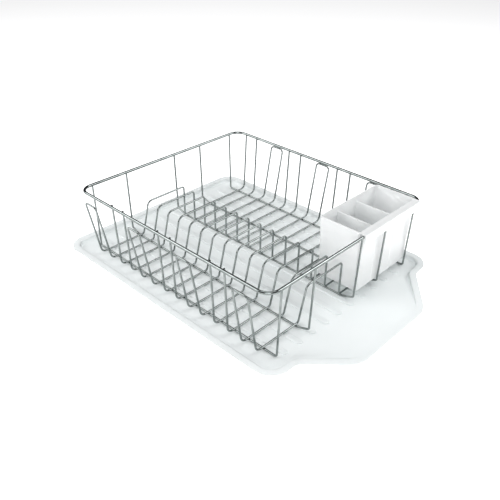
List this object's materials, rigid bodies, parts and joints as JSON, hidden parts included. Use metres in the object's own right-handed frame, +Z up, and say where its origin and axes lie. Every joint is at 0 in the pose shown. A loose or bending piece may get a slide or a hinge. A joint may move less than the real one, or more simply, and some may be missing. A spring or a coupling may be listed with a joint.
{
  "type": "dish drying rack",
  "caption": "Wire dish rack with hairpin plate dividers, standing in a plastic drain tray with a pouring spout, with a hook-on cutlery holder.",
  "frame": {"origin": "on the table, under the middle of the tray's outer box", "axes": "+X along the tray's length to its pouring spout, +Y across to the far long side, where the rack's three loops of the second, fourth and sixth plate wires are, +Z up"},
  "size_m": [0.494, 0.365, 0.1132],
  "materials": {
    "tray_plastic": "slightly translucent white moulded plastic, satin",
    "bright_wire": "bright chrome plated wire",
    "holder_plastic": "white moulded plastic, soft gloss"
  },
  "bodies": {
    "tray": {"drain_tray": "tray_plastic"},
    "rack": {"top_rim": "bright_wire", "base_wire_front_edge": "bright_wire", "base_wire_front_inner": "bright_wire", "base_wire_middle": "bright_wire", "base_wire_back_inner": "bright_wire", "base_wire_back_edge": "bright_wire", "plate_wire_1": "bright_wire", "plate_wire_2": "bright_wire", "plate_wire_3": "bright_wire", "plate_wire_4": "bright_wire", "plate_wire_5": "bright_wire", "plate_wire_6": "bright_wire", "plate_wire_7": "bright_wire"},
    "holder": {"cutlery_holder": "holder_plastic"}
  },
  "joints": [
    {"name": "rack_lift", "type": "slide", "parent": "tray", "child": "rack", "axis": [0, 0, 1], "range_m": [0, 0.15]},
    {"name": "holder_lift", "type": "slide", "parent": "rack", "child": "holder", "axis": [0, 0, 1], "range_m": [0, 0.12]}
  ]
}
